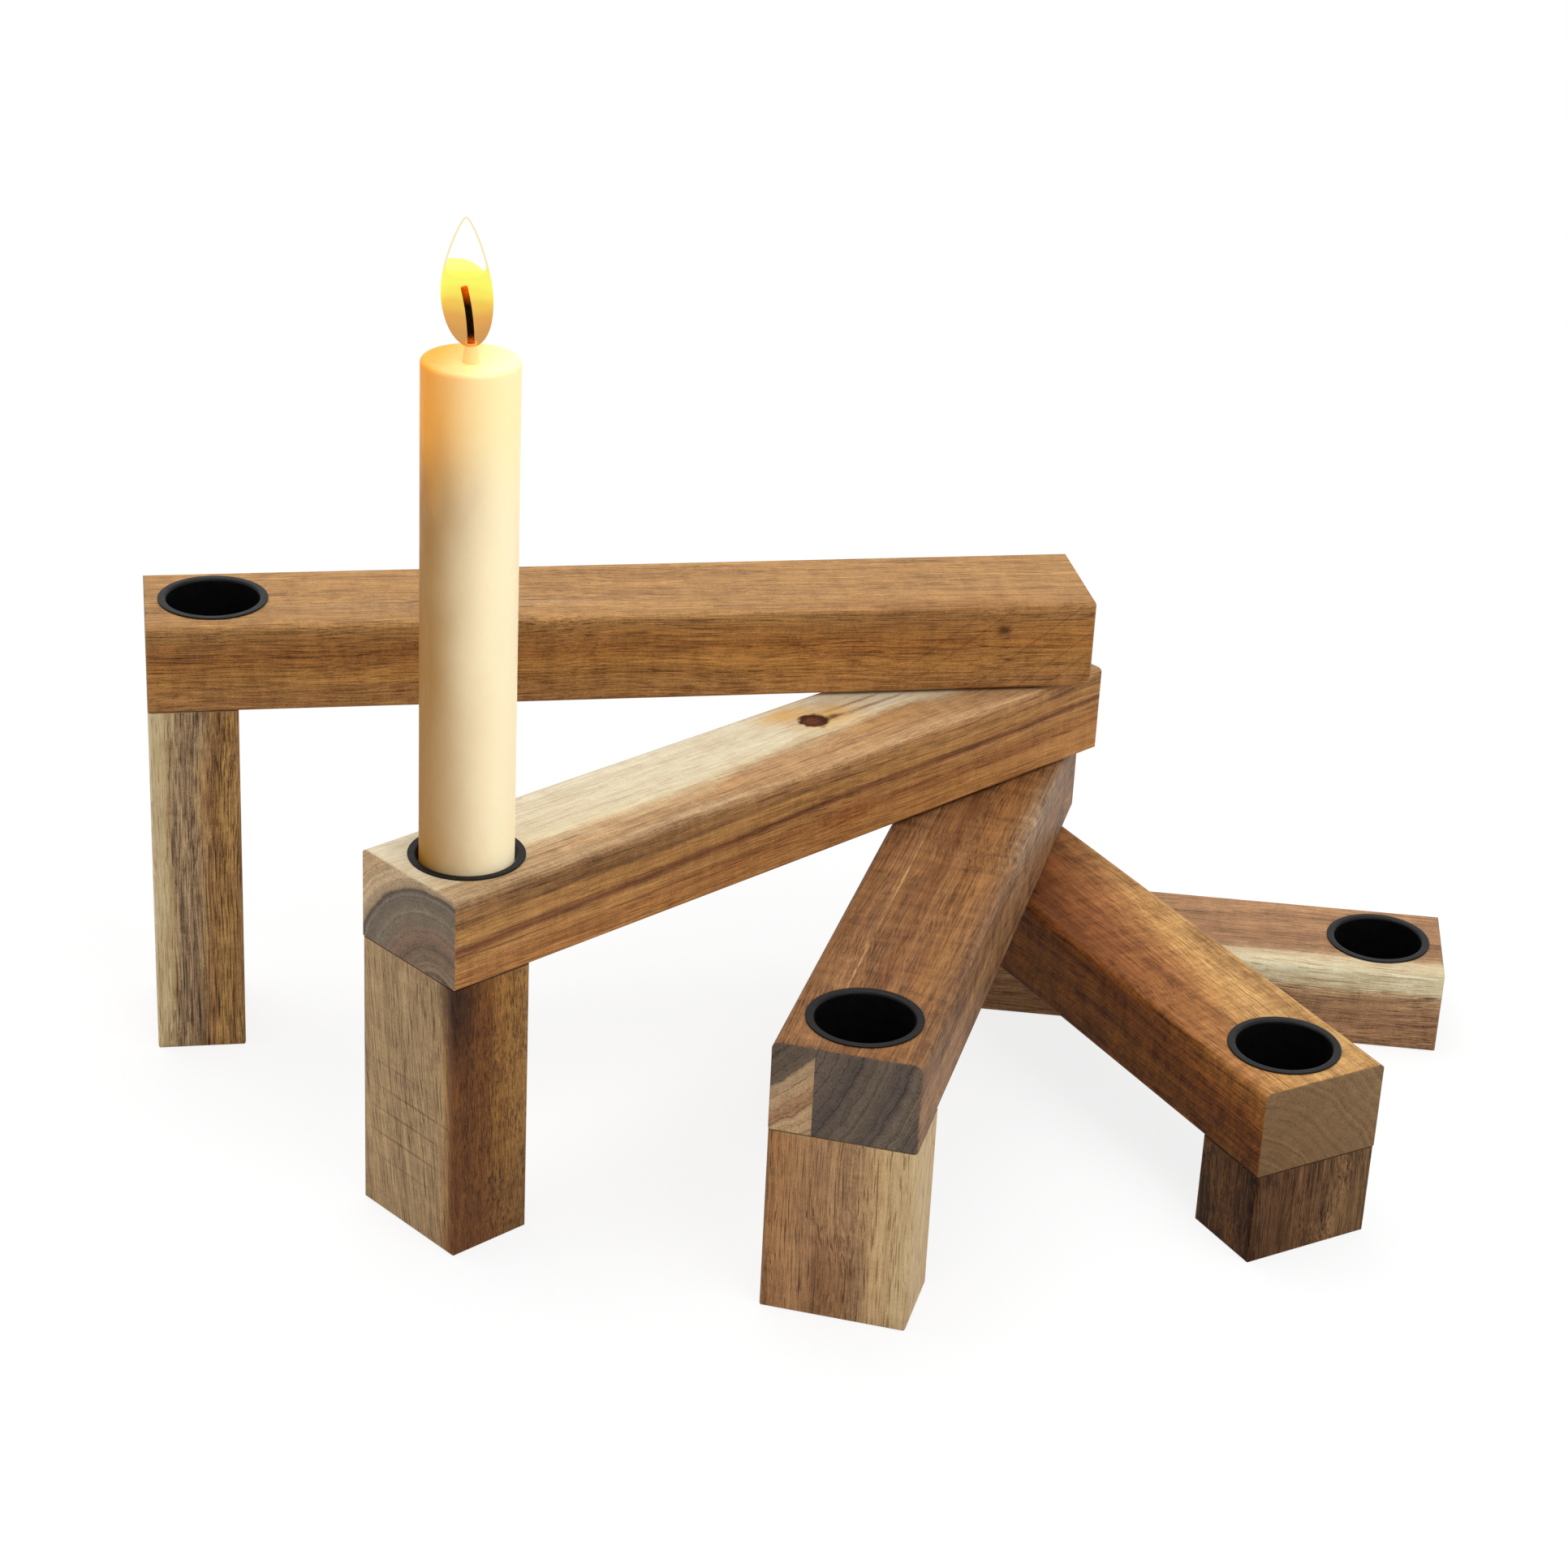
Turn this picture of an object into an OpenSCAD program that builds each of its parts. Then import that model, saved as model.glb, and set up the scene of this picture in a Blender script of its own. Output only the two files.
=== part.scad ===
// Swivel advent candle holder: five wooden bars stacked on one pivot bolt and fanned out,
// each upper bar on a leg of its own, with a metal candle cup near every free end.
// Bars are numbered from the top of the stack, 1, down to the base bar, 5, which lies on the table.
// The pivot axis is Z, the table is Z = 0, and the base bar runs along +X.

/* [Bars] */
// Width of every bar and leg
bar_w = 36; // [32:0.5:50]
// Thickness of every bar
bar_t = 23.8; // [22:0.1:32]
// Reach of the base bar from the pivot axis to its free end
base_reach = 125; // [100:1:200]
// Length of every bar behind the pivot axis
pivot_inset = 18; // [14:0.5:40]
// Rounding of the long top edges
top_edge_r = 2.2; // [0.5:0.1:4]
// Rounding of the long bottom edges
bottom_edge_r = 1; // [0.3:0.1:3]
// Rounding of the edges round both end faces
end_edge_r = 0.6; // [0.3:0.1:1.5]

/* [Fan] */
// Turn of bar 1, the top one, from the base bar in degrees
turn_1 = -164; // [-168:0.5:-160]
// Turn of bar 2 in degrees
turn_2 = -131; // [-136:0.5:-126]
// Turn of bar 3 in degrees
turn_3 = -98.5; // [-104:0.5:-93]
// Turn of bar 4 in degrees
turn_4 = -54.5; // [-75:0.5:-40]

/* [Legs] */
// Depth of a leg along its bar
leg_t = 23; // [18:0.5:30]
// Gap between a leg and the end of the next lower bar when the holder is folded
fold_gap = 3; // [2:0.5:10]
// Rounding of the upright edges
leg_edge_r = 1.2; // [0.3:0.1:3]
// Rounding of the edges round the foot
foot_edge_r = 0.6; // [0.3:0.1:2]

/* [Candle cups] */
// Bore of a cup
cup_bore_d = 23.8; // [20:0.1:24.5]
// Wall of the pressed metal
cup_wall = 0.6; // [0.4:0.1:0.8]
// Depth inside a cup, from the top of its flange
cup_depth = 19.5; // [12:0.5:20]
// Width of the flange round the bore
flange_w = 2.2; // [1.5:0.1:3]
// Height of the flange above the wood
flange_t = 0.5; // [0.3:0.05:1]
// Rounding of the lip between flange and bore
lip_r = 0.8; // [0.4:0.1:1]
// Outer rounding at the bottom of a cup
cup_bottom_r = 1.8; // [1:0.1:3]
// Distance from a bar's free end to its cup's axis
cup_inset = 17.5; // [16:0.5:30]

/* [Candle] */
// Radial play of the candle in its cup
candle_play = 0.5; // [0.2:0.05:1]
// Height of the candle above the wood of its bar
candle_rise = 124; // [20:1:250]
// Rounding of the candle's top edge
candle_edge_r = 1.1; // [0.3:0.1:3]
// Depth of the hollow melted into the candle's top
melt_depth = 0.8; // [0.3:0.1:2]
// Diameter of the waxed wick
wick_d = 2; // [1.5:0.1:3]
// Diameter of the wick's burnt end as a share of the waxed wick's
burnt_share = 0.8; // [0.5:0.05:0.9]
// Height of the wax drawn up round the foot of the wick
wax_collar_h = 4.5; // [1:0.1:8]
// Radius of the wick's bend
wick_bend_r = 57; // [20:1:100]
// Angle of the wick's bend
wick_bend = 14; // [5:1:25]
// Direction in which the wick leans, in degrees from the base bar
wick_lean = 180; // [0:5:360]

/* [Pivot bolt] */
// Diameter of the bolt's shank
bolt_d = 6; // [5:0.5:8]
// Diameter of the bolt's flat head
bolt_head_d = 15; // [12:0.5:17]
// Thickness of the bolt's head
bolt_head_t = 2; // [1.5:0.1:2.6]
// Width across the flats of the key recess in the head
key_flats = 4; // [3:0.5:5]
// Depth of the key recess
key_depth = 1.6; // [1:0.1:2.4]
// Distance by which the bolt's tip stays inside the threaded insert
tip_inset = 1; // [0.5:0.5:6]
// Diameter of the washer under the bolt's head
head_washer_d = 17; // [15.5:0.5:18.5]
// Thickness of the washer under the bolt's head
head_washer_t = 1; // [0.8:0.1:1.4]
// Width of the gap round the washer in the recess under the base bar
recess_gap = 1.5; // [0.5:0.1:2.5]
// Depth at which the bolt's head lies inside the recess
head_inset = 1.5; // [0.5:0.1:3]
// Wall of the threaded insert in the top bar
insert_wall = 1.5; // [1:0.1:2.5]
// Length of the threaded insert
insert_l = 15; // [12:0.5:18]
// Depth of the blind hole beyond the insert
insert_hole_rest = 2; // [0.5:0.5:3]
// Outer diameter of the plastic washers between the bars
slip_washer_d = 22; // [14:0.5:30]
// Gap between a cup's flange and the bar that swings over it
swing_gap = 0.2; // [0.15:0.05:1]

/* [Leg screws] */
// Diameter of a leg screw
screw_d = 3.5; // [3:0.5:4]
// Diameter of the countersunk head
screw_head_d = 7; // [6:0.5:8]
// Height of the countersunk head
screw_head_t = 2; // [1.5:0.1:3]
// Whole length of a leg screw
screw_l = 24; // [15:1:26]
// Distance between the two screws of a leg
screw_spacing = 11; // [9:0.5:12]
// Length of the tapered screw point
screw_point_l = 5; // [3:0.5:8]
// Width of the cross slots in a screw head
cross_w = 0.9; // [0.6:0.1:1.2]
// Length of the cross slots
cross_l = 4; // [3:0.5:5]
// Depth of the cross slots
cross_depth = 1.1; // [0.8:0.1:1.4]

/* [Hidden] */
$fn = 64;

bar_count = 5;
candle_bar = 2;
turns = [turn_1, turn_2, turn_3, turn_4, 0];

// Radial play of the bolt in the bars that turn on it
bolt_play = 0.1;
// Play round and under a cup in its socket
socket_play = 0.1;
// Play round a screw, the insert and the wick
fit_play = 0.05;
// Overrun of every cut beyond the face that it opens
over = 1;
// Diameter of a screw's point at its tip
screw_tip_d = 0.6;
// Wall of the wax drawn up round the wick, at its foot and at its top
collar_foot_wall = 1.2;
collar_top_wall = 0.3;
// Width of the rim left round the hollow in the candle's top
melt_rim = 1.6;

slip_washer_t = flange_t + swing_gap;
pitch = bar_t + slip_washer_t;
cup_bore_r = cup_bore_d / 2;
cup_outer_r = cup_bore_r + cup_wall;
flange_r = cup_bore_r + flange_w;
cup_below = cup_depth + cup_wall - flange_t;
socket_depth = cup_below + socket_play;
candle_r = cup_bore_r - candle_play;
bolt_hole_d = bolt_d + 2 * bolt_play;
insert_d = bolt_d + 2 * (fit_play + insert_wall);
head_z = head_inset;
washer_z = head_z + bolt_head_t;
recess_depth = washer_z + head_washer_t;

// Height of a bar's underside, which is also the height of its leg
function bar_z(i) = (bar_count - i) * pitch;
// Reach of a bar, longer by one leg and one gap than the bar below it
function reach(i) = base_reach + (bar_count - i) * (leg_t + fold_gap);

// Places what belongs to bar i: X runs out along the bar, Z = 0 is the table
module on_bar(i) {
    rotate([0, 0, turns[i - 1]]) children();
}

// Moves to the axis of bar i's candle cup, with Z = 0 on the bar's top face
module at_cup(i) {
    on_bar(i) translate([reach(i) - cup_inset, 0, bar_z(i) + bar_t]) children();
}

// Moves to each of the two screw axes of leg i, with Z = 0 on the bar's underside
module at_leg_screws(i) {
    for (side = [-1, 1])
        on_bar(i) translate([reach(i) - leg_t / 2, side * screw_spacing / 2, bar_z(i)]) children();
}

// Rectangle centred on X that stands on Y = 0, with its own radius for lower and upper corners
module soft_rectangle(width, height, low_r, high_r) {
    for (side = [-1, 1]) {
        translate([side * (width / 2 - low_r), low_r]) circle(low_r);
        translate([side * (width / 2 - high_r), height - high_r]) circle(high_r);
    }
    polygon([
        [-width / 2 + low_r, 0], [width / 2 - low_r, 0],
        [width / 2, low_r], [width / 2, height - high_r],
        [width / 2 - high_r, height], [-width / 2 + high_r, height],
        [-width / 2, height - high_r], [-width / 2, low_r]
    ]);
}

// Plain bar from x = -pivot_inset to its reach, with all its edges rounded
module bar_blank(length_out) {
    length = pivot_inset + length_out;
    middle = (length_out - pivot_inset) / 2;
    intersection() {
        translate([-pivot_inset, 0, 0]) rotate([90, 0, 90])
            linear_extrude(length) soft_rectangle(bar_w, bar_t, bottom_edge_r, top_edge_r);
        translate([middle, bar_w / 2, 0]) rotate([90, 0, 0])
            linear_extrude(bar_w) soft_rectangle(length, bar_t, end_edge_r, end_edge_r);
        translate([middle, -bar_w / 2, 0])
            linear_extrude(bar_t) soft_rectangle(length, bar_w, end_edge_r, end_edge_r);
    }
}

// Cut for the pivot: a through hole, a blind hole for the insert in the top bar,
// and a recess for the bolt's head under the base bar
module pivot_cut(i) {
    if (i == 1) {
        translate([0, 0, -over])
            cylinder(h = over + insert_l + insert_hole_rest, d = insert_d + 2 * fit_play);
    } else {
        translate([0, 0, -over]) cylinder(h = bar_t + 2 * over, d = bolt_hole_d);
    }
    if (i == bar_count)
        translate([0, 0, -over]) cylinder(h = over + recess_depth, d = head_washer_d + 2 * recess_gap);
}

// Socket for a candle cup, from the bar's top face
module socket_cut() {
    translate([0, 0, -socket_depth])
        cylinder(h = socket_depth + over, r = cup_outer_r + socket_play);
}

// Countersunk hole that takes a leg screw, with Z = 0 on the bar's underside
module screw_cut() {
    socket_z = bar_t - socket_depth;
    translate([0, 0, socket_z - screw_l]) cylinder(h = screw_l, d = screw_d + 2 * fit_play);
    translate([0, 0, socket_z - screw_head_t])
        cylinder(h = screw_head_t, d1 = screw_d + 2 * fit_play, d2 = screw_head_d + 2 * fit_play);
}

module arm(i) {
    color("peru") difference() {
        on_bar(i) translate([0, 0, bar_z(i)]) bar_blank(reach(i));
        on_bar(i) translate([0, 0, bar_z(i)]) pivot_cut(i);
        at_cup(i) socket_cut();
        if (i < bar_count) at_leg_screws(i) screw_cut();
    }
}

module leg(i) {
    height = bar_z(i);
    color("sienna") difference() {
        on_bar(i) translate([reach(i) - leg_t, 0, 0]) intersection() {
            translate([leg_t / 2, -bar_w / 2, 0])
                linear_extrude(height) soft_rectangle(leg_t, bar_w, leg_edge_r, leg_edge_r);
            translate([leg_t / 2, bar_w / 2, 0]) rotate([90, 0, 0])
                linear_extrude(bar_w) soft_foot(leg_t, height);
            rotate([90, 0, 90]) linear_extrude(leg_t) soft_foot(bar_w, height);
        }
        at_leg_screws(i) screw_cut();
    }
}

// Side outline of a leg: square at the top, where it meets its bar, and rounded at the foot
module soft_foot(width, height) {
    soft_rectangle(width, height - foot_edge_r, foot_edge_r, foot_edge_r);
    translate([-width / 2, foot_edge_r]) square([width, height - foot_edge_r]);
}

// Right half of a cup's section, with Z = 0 on the wood
module cup_section() {
    floor_r = cup_bottom_r - cup_wall;
    difference() {
        union() {
            square([flange_r - flange_t / 2, flange_t]);
            translate([flange_r - flange_t / 2, flange_t / 2]) circle(flange_t / 2);
            translate([0, -cup_below + cup_bottom_r]) square([cup_outer_r, cup_below - cup_bottom_r]);
            translate([0, -cup_below]) square([cup_outer_r - cup_bottom_r, cup_bottom_r]);
            translate([cup_outer_r - cup_bottom_r, -cup_below + cup_bottom_r]) circle(cup_bottom_r);
        }
        translate([0, flange_t - cup_depth + floor_r]) square([cup_bore_r, cup_depth - floor_r + over]);
        translate([0, flange_t - cup_depth]) square([cup_bore_r - floor_r, floor_r + over]);
        translate([cup_bore_r - floor_r, flange_t - cup_depth + floor_r]) circle(floor_r);
        difference() {
            translate([0, flange_t - lip_r]) square([cup_bore_r + lip_r, lip_r + over]);
            translate([cup_bore_r + lip_r, flange_t - lip_r]) circle(lip_r);
        }
    }
}

module cup(i) {
    color("dimgray") at_cup(i) rotate_extrude() intersection() {
        cup_section();
        translate([0, -cup_below]) square([flange_r, cup_below + flange_t]);
    }
}

module leg_screws(i) {
    color("silver") at_leg_screws(i) translate([0, 0, bar_t - socket_depth]) difference() {
        union() {
            translate([0, 0, -screw_head_t]) cylinder(h = screw_head_t, d1 = screw_d, d2 = screw_head_d);
            translate([0, 0, screw_point_l - screw_l])
                cylinder(h = screw_l - screw_point_l - screw_head_t, d = screw_d);
            translate([0, 0, -screw_l]) cylinder(h = screw_point_l, d1 = screw_tip_d, d2 = screw_d);
        }
        for (turn = [0, 90])
            rotate([0, 0, turn]) translate([-cross_l / 2, -cross_w / 2, -cross_depth])
                cube([cross_l, cross_w, cross_depth + over]);
    }
}

// Ring that lies between bar i and the bar below it
module slip_washer(i) {
    color("ivory") translate([0, 0, bar_z(i) - slip_washer_t])
        ring(slip_washer_d, bolt_hole_d, slip_washer_t);
}

module ring(outer_d, inner_d, height) {
    difference() {
        cylinder(h = height, d = outer_d);
        translate([0, 0, -over]) cylinder(h = height + 2 * over, d = inner_d);
    }
}

module head_washer() {
    color("silver") translate([0, 0, washer_z])
        ring(head_washer_d, bolt_d + 2 * fit_play, head_washer_t);
}

module pivot_bolt() {
    tip_z = bar_z(1) + insert_l - tip_inset;
    tip_chamfer = bolt_d / 8;
    color("silver") difference() {
        union() {
            translate([0, 0, head_z]) cylinder(h = bolt_head_t, d = bolt_head_d);
            translate([0, 0, washer_z]) cylinder(h = tip_z - tip_chamfer - washer_z, d = bolt_d);
            translate([0, 0, tip_z - tip_chamfer])
                cylinder(h = tip_chamfer, d1 = bolt_d, d2 = bolt_d - 2 * tip_chamfer);
        }
        translate([0, 0, head_z - over])
            cylinder(h = over + key_depth, d = key_flats / cos(30), $fn = 6);
    }
}

module threaded_insert() {
    color("goldenrod") translate([0, 0, bar_z(1)]) ring(insert_d, bolt_d + 2 * fit_play, insert_l);
}

// Heights on the candle, with Z = 0 on the wood of its bar
candle_foot_z = flange_t - cup_depth;
melt_z = candle_rise - melt_depth;

// Right half of the candle's section: its foot clears the rounding in the cup
module candle_section() {
    foot_r = cup_bottom_r - cup_wall + candle_play;
    side_h = candle_rise - candle_foot_z - foot_r - candle_edge_r;
    translate([0, candle_foot_z + foot_r]) square([candle_r, side_h]);
    translate([0, candle_foot_z]) square([candle_r - foot_r, foot_r]);
    translate([candle_r - foot_r, candle_foot_z + foot_r]) intersection() {
        circle(foot_r);
        translate([0, -foot_r]) square(foot_r);
    }
    translate([0, candle_rise - candle_edge_r]) square([candle_r - candle_edge_r, candle_edge_r]);
    translate([candle_r - candle_edge_r, candle_rise - candle_edge_r]) intersection() {
        circle(candle_edge_r);
        square(candle_edge_r);
    }
}

module candle() {
    hollow_r = candle_r - melt_rim;
    ball_r = (hollow_r * hollow_r + melt_depth * melt_depth) / (2 * melt_depth);
    color("cornsilk") at_cup(candle_bar) difference() {
        union() {
            difference() {
                rotate_extrude() candle_section();
                translate([0, 0, melt_z + ball_r]) sphere(ball_r, $fn = 128);
            }
            translate([0, 0, melt_z - over])
                cylinder(h = wax_collar_h + over, d1 = wick_d + 2 * collar_foot_wall,
                    d2 = wick_d + 2 * collar_top_wall);
        }
        translate([0, 0, candle_foot_z - over])
            cylinder(h = candle_rise - candle_foot_z + wax_collar_h + 2 * over, d = wick_d + 2 * fit_play);
    }
}

// Straight waxed wick, with its burnt end rooted in it and bent over
module wick() {
    collar_top_z = melt_z + wax_collar_h;
    burnt_r = burnt_share * wick_d / 2;
    color("dimgray") at_cup(candle_bar) {
        translate([0, 0, candle_foot_z]) cylinder(h = collar_top_z - candle_foot_z, d = wick_d);
        translate([0, 0, collar_top_z - over]) rotate([0, 0, wick_lean - turns[candle_bar - 1]])
            translate([wick_bend_r, 0, 0]) rotate([90, 0, 180])
                rotate_extrude(angle = wick_bend) translate([wick_bend_r, 0]) circle(burnt_r);
    }
}

arm(1);  // arm_1
arm(2);  // arm_2
arm(3);  // arm_3
arm(4);  // arm_4
arm(5);  // arm_5
leg(1);  // leg_1
leg(2);  // leg_2
leg(3);  // leg_3
leg(4);  // leg_4
cup(1);  // cup_1
cup(2);  // cup_2
cup(3);  // cup_3
cup(4);  // cup_4
cup(5);  // cup_5
leg_screws(1);  // leg_screws_1
leg_screws(2);  // leg_screws_2
leg_screws(3);  // leg_screws_3
leg_screws(4);  // leg_screws_4
slip_washer(1);  // slip_washer_1
slip_washer(2);  // slip_washer_2
slip_washer(3);  // slip_washer_3
slip_washer(4);  // slip_washer_4
pivot_bolt();
head_washer();
threaded_insert();
candle();
wick();
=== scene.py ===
"""Looks of a swivel advent candle holder: five wooden bars fanned out on one pivot bolt, each
with a black metal candle cup, and a lit candle in one of them. The wood is worked out in three
dimensions from the grain of each piece, so that it runs on over the edges into the end faces."""
import math
from dataclasses import dataclass

import bmesh
import bpy
from mathutils import Matrix, Vector


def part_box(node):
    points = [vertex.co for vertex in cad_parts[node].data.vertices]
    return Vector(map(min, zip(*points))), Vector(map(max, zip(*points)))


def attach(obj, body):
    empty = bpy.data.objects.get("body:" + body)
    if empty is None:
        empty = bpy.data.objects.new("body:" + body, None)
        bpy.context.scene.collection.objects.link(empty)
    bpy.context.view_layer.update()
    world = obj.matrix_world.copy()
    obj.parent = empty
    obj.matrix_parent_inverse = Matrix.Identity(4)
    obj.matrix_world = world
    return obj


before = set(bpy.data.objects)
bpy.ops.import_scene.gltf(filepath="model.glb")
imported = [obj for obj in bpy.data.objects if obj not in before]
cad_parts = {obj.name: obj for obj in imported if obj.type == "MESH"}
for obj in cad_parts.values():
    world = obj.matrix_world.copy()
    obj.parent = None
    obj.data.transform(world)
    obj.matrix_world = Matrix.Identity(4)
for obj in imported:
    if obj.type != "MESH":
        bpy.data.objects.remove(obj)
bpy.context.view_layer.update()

# Millimetres in a metre: the materials are described in millimetres
MM = 1000.0
BARS = (1, 2, 3, 4, 5)
LEGS = (1, 2, 3, 4)
WHITE = (1.0, 1.0, 1.0, 1.0)

# The photograph's camera: lens and sensor in mm, place in metres, and its turns about Z, X and Z
# again in degrees
LENS = 83.64
SENSOR = 36.0
CAMERA_PLACE = (0.01878, -0.9013, 0.4928)
CAMERA_TURNS = (4.933, 64.181, 2.909)

# Strength of the white surroundings as they light the object
WORLD_LIGHT = 0.64
# The floor: its radius in metres, how pale it is where light bounces off it, its share of plain
# white under the object, and the distances between which it turns all white, in metres
FLOOR_RADIUS = 4.0
FLOOR_BOUNCE = 0.65
FLOOR_WHITE = 0.82
FLOOR_FADE = (0.25, 0.7)


def srgb(red, green, blue):
    """A colour as it is seen on a screen, 0 to 255, turned into linear light."""
    def linear(channel):
        c = channel / 255
        return c / 12.92 if c <= 0.04045 else ((c + 0.055) / 1.055) ** 2.4
    return (linear(red), linear(green), linear(blue), 1.0)


def middle_of(node):
    """The middle of a CAD node's box, in metres."""
    low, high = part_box(node)
    return (low + high) / 2


class Value:
    """A shader socket that can be added and multiplied like a number."""

    def __init__(self, graph, socket):
        self.graph = graph
        self.socket = socket

    def __add__(self, other):
        return self.graph.math("ADD", self, other)

    def __sub__(self, other):
        return self.graph.math("SUBTRACT", self, other)

    def __rsub__(self, other):
        return self.graph.math("SUBTRACT", other, self)

    def __mul__(self, other):
        return self.graph.math("MULTIPLY", self, other)

    __radd__ = __add__
    __rmul__ = __mul__


class Graph:
    """Builds the nodes of one material or of the world."""

    def __init__(self, tree):
        self.tree = tree
        tree.nodes.clear()

    def fill(self, socket, value):
        """Links an input to a Value, or sets it to a number or a colour."""
        if isinstance(value, Value):
            self.tree.links.new(value.socket, socket)
        else:
            socket.default_value = value

    def node(self, kind, inputs=(), **settings):
        """Adds a node; inputs pairs socket names or numbers with what fills them."""
        made = self.tree.nodes.new("ShaderNode" + kind)
        for key, value in settings.items():
            setattr(made, key, value)
        for key, value in dict(inputs).items():
            self.fill(made.inputs[key], value)
        return made

    def value(self, kind, inputs=(), output=0, **settings):
        """Adds a node and gives one of its outputs."""
        return Value(self, self.node(kind, inputs, **settings).outputs[output])

    def math(self, operation, *values):
        """One step of arithmetic with numbers."""
        return self.value("Math", enumerate(values), operation=operation)

    def vector(self, operation, *values):
        """One step of arithmetic with vectors; a length or a dot product is a number."""
        output = "Value" if operation in ("LENGTH", "DOT_PRODUCT") else "Vector"
        return self.value("VectorMath", enumerate(values), output, operation=operation)

    def combine(self, x, y, z):
        return self.value("CombineXYZ", {"X": x, "Y": y, "Z": z})

    def separate(self, vector):
        made = self.node("SeparateXYZ", {0: vector})
        return [Value(self, made.outputs[axis]) for axis in "XYZ"]

    def span(self, value, low, high, to_low=0.0, to_high=1.0):
        """Smooth step from to_low to to_high while the value goes from low to high."""
        inputs = enumerate((value, low, high, to_low, to_high))
        return self.value("MapRange", inputs, interpolation_type="SMOOTHSTEP")

    def mix(self, share, first, second):
        """A colour between two others; share is how much there is of the second."""
        inputs = {"Factor": share, "A": first, "B": second}
        made = self.node("Mix", data_type="RGBA")
        for socket in made.inputs:
            if socket.enabled and socket.name in inputs:
                self.fill(socket, inputs[socket.name])
        return Value(self, [s for s in made.outputs if s.enabled][0])

    def scale(self, colour, factor):
        """A colour made brighter or darker by a factor."""
        return self.value("VectorMath", {0: colour, "Scale": factor}, operation="SCALE")

    def noise(self, point, stretch, detail=2.0, roughness=0.5):
        """Noise round 0, mostly within 1, with features about 1 / stretch mm long."""
        scaled = self.vector("MULTIPLY", point, stretch)
        inputs = {"Vector": scaled, "Scale": 1.0, "Detail": detail, "Roughness": roughness}
        return (self.value("TexNoise", inputs) - 0.5) * 8.0

    def ramp(self, value, stops):
        """Colour ramp over real values: stops are (value, colour)."""
        low, high = stops[0][0], stops[-1][0]
        made = self.node("ValToRGB")
        made.color_ramp.interpolation = "EASE"
        elements = made.color_ramp.elements
        for index, (at, colour) in enumerate(stops):
            place = (at - low) / (high - low)
            element = elements[index] if index < 2 else elements.new(place)
            element.position = place
            element.color = srgb(*colour)
        inputs = enumerate((value, low, high, 0.0, 1.0))
        share = self.value("MapRange", inputs, interpolation_type="LINEAR")
        self.fill(made.inputs[0], share)
        return Value(self, made.outputs[0])


def millimetres(graph, origin=(0.0, 0.0, 0.0), turn=0.0):
    """The point in mm, turned about Z by -turn and then measured from an origin in metres."""
    return graph.value("Mapping", {
        "Vector": graph.value("TexCoord", output="Object"),
        "Location": tuple(-MM * c for c in origin),
        "Rotation": (0.0, 0.0, -turn),
        "Scale": (MM, MM, MM),
    })


def new_material(name):
    """An empty material and the graph that fills it."""
    material = bpy.data.materials.new(name)
    material.use_nodes = True
    return material, Graph(material.node_tree)


def surface(graph, **inputs):
    """Ends a material in a Principled shader; socket names have _ for blanks."""
    named = {key.replace("_", " "): value for key, value in inputs.items()}
    shader = graph.value("BsdfPrincipled", named, "BSDF")
    graph.node("OutputMaterial", {"Surface": shader})


@dataclass
class Layer:
    """A board cut from a trunk: where the pith runs in its section (across, through, in mm)
    and the colours met at growing distances from it."""
    pith: tuple
    stops: list
    # The same colours as they show in the end grain
    end_stops: list
    # Shift of the colours with each mm along the grain
    drift: float = 0.0
    # Weight of the across direction in the distance from the pith
    squeeze: float = 1.0
    # The rings draw nearer to the one at this distance by a share with each mm along
    still: float = 0.0
    taper: float = 0.0


@dataclass
class Patch:
    """An ellipsoid of another colour, in mm along, across and through the piece."""
    centre: tuple
    radii: tuple
    colour: tuple
    share: float = 1.0
    # Share of the radii over which the colour fades out
    fade: float = 0.5


@dataclass
class Wood:
    """What one bar or leg looks like; the shares are changes of brightness."""
    layer: Layer
    seed: float
    patches: tuple = ()
    # A second board glued on beside the first, on its -across side, from this place on
    second: Layer = None
    seam: float = 0.0
    # How far the growth rings wander, in mm
    warp: float = 0.6
    # How far the grain runs across with each mm along
    slant: float = 0.0
    # How far the fibres sway, in mm
    sway: float = 1.0
    streak: float = 0.09
    stripe: float = 0.11
    ring: float = 0.06
    fibre: float = 0.2
    fuzz: float = 0.11
    line: float = 0.4
    pore: float = 0.35
    # Fineness of the pores, per mm across
    pore_scale: float = 4.2
    figure: float = 0.05
    ripple: float = 0.03
    # Fine sanding scratches that run aslant on the faces that look across
    scratch: float = 0.0
    end_ring: float = 0.14
    end_line: float = 0.25
    # Colour factors of the faces that look across, in 200ths: partly the wood's own tone there and
    # partly painted shade and light, which make these faces darker than the tops below 200 and
    # lighter above it
    side_tone_and_shading: tuple = (170, 168, 160)
    saw_marks: float = 0.0
    # How strongly the surface mirrors
    gloss: float = 0.14


def grain_point(graph, bar, upright):
    """Millimetres along the grain, across the bar and through it, from the piece's own corner,
    and the directions of the grain and of across. The grain runs along a bar and up a leg."""
    cup_middle = middle_of(f"cup_{bar}")
    turn = math.atan2(cup_middle.y, cup_middle.x)
    inner, bottom = 0.0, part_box(f"arm_{bar}")[0].z
    if upright:
        inner, bottom = leg_inner_face(bar, turn), 0.0
    out, across, up = graph.separate(millimetres(graph, (inner, 0.0, bottom), turn))
    ahead = (math.cos(turn), math.sin(turn), 0.0)
    aside = (-math.sin(turn), math.cos(turn), 0.0)
    if upright:
        return up, across, out, (0.0, 0.0, 1.0), aside
    return out, across, up, ahead, aside


def leg_inner_face(bar, turn):
    """Distance from the pivot's axis to the inner face of a leg."""
    away = Vector((math.cos(turn), math.sin(turn), 0.0))
    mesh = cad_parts[f"leg_{bar}"].data
    return min(vertex.co.dot(away) for vertex in mesh.vertices)


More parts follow.
